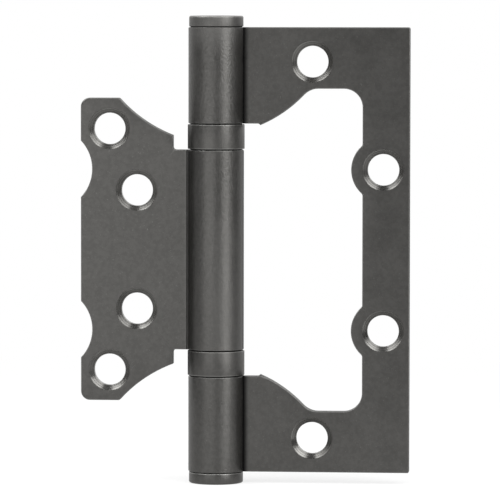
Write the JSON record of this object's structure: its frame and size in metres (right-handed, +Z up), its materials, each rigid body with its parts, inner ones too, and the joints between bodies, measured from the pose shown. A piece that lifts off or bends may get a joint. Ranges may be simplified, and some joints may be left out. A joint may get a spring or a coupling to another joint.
{
  "type": "flush hinge",
  "caption": "Flush door hinge: a small leaf swings into the window of a large leaf, about a round barrel with ball bearing rings and end caps. Countersunk screw holes in both leaves.",
  "frame": {"origin": "on the pin's axis at mid-height of the hinge", "axes": "+Z up along the pin; +X from the pin to the large leaf, which is fixed to the door frame; -Y is the side of the screw heads, with the hinge open flat"},
  "size_m": [0.0741, 0.0128, 0.1052],
  "materials": {
    "frame_leaf_plating": "satin dark graphite plating on steel sheet",
    "door_leaf_plating": "satin dark graphite plating on steel sheet",
    "cap_plating": "satin dark graphite plating on turned steel",
    "sleeve_plating": "satin dark graphite plating on a drawn steel ring",
    "pin_steel": "bare ground steel",
    "race_steel": "hardened steel with ground faces",
    "ball_steel": "polished hardened steel"
  },
  "bodies": {
    "frame_side": {"frame_leaf": "frame_leaf_plating", "hinge_pin": "pin_steel", "top_cap": "cap_plating", "bottom_cap": "cap_plating", "upper_bearing_frame_race": "race_steel", "upper_bearing_sleeve": "sleeve_plating", "lower_bearing_frame_race": "race_steel", "lower_bearing_sleeve": "sleeve_plating"},
    "door_side": {"door_leaf": "door_leaf_plating", "upper_bearing_door_race": "race_steel", "lower_bearing_door_race": "race_steel"},
    "upper_balls": {"upper_bearing_ball_01": "ball_steel", "upper_bearing_ball_02": "ball_steel", "upper_bearing_ball_03": "ball_steel", "upper_bearing_ball_04": "ball_steel", "upper_bearing_ball_05": "ball_steel", "upper_bearing_ball_06": "ball_steel", "upper_bearing_ball_07": "ball_steel", "upper_bearing_ball_08": "ball_steel", "upper_bearing_ball_09": "ball_steel", "upper_bearing_ball_10": "ball_steel", "upper_bearing_ball_11": "ball_steel", "upper_bearing_ball_12": "ball_steel", "upper_bearing_ball_13": "ball_steel", "upper_bearing_ball_14": "ball_steel"},
    "lower_balls": {"lower_bearing_ball_01": "ball_steel", "lower_bearing_ball_02": "ball_steel", "lower_bearing_ball_03": "ball_steel", "lower_bearing_ball_04": "ball_steel", "lower_bearing_ball_05": "ball_steel", "lower_bearing_ball_06": "ball_steel", "lower_bearing_ball_07": "ball_steel", "lower_bearing_ball_08": "ball_steel", "lower_bearing_ball_09": "ball_steel", "lower_bearing_ball_10": "ball_steel", "lower_bearing_ball_11": "ball_steel", "lower_bearing_ball_12": "ball_steel", "lower_bearing_ball_13": "ball_steel", "lower_bearing_ball_14": "ball_steel"}
  },
  "joints": [
    {"name": "leaf_swing", "type": "hinge", "parent": "frame_side", "child": "door_side", "pos_m": [0, 0, 0], "axis": [0, 0, 1], "range_deg": [0, 180]},
    {"name": "upper_ball_roll", "type": "hinge", "parent": "frame_side", "child": "upper_balls", "pos_m": [0, 0, 0.02545], "axis": [0, 0, 1], "range_deg": [0, 90]},
    {"name": "lower_ball_roll", "type": "hinge", "parent": "frame_side", "child": "lower_balls", "pos_m": [0, 0, -0.02545], "axis": [0, 0, 1], "range_deg": [0, 90]}
  ],
  "couplings": [
    {"joint": "upper_ball_roll", "follows": "leaf_swing", "ratio": 0.5},
    {"joint": "lower_ball_roll", "follows": "leaf_swing", "ratio": 0.5}
  ]
}
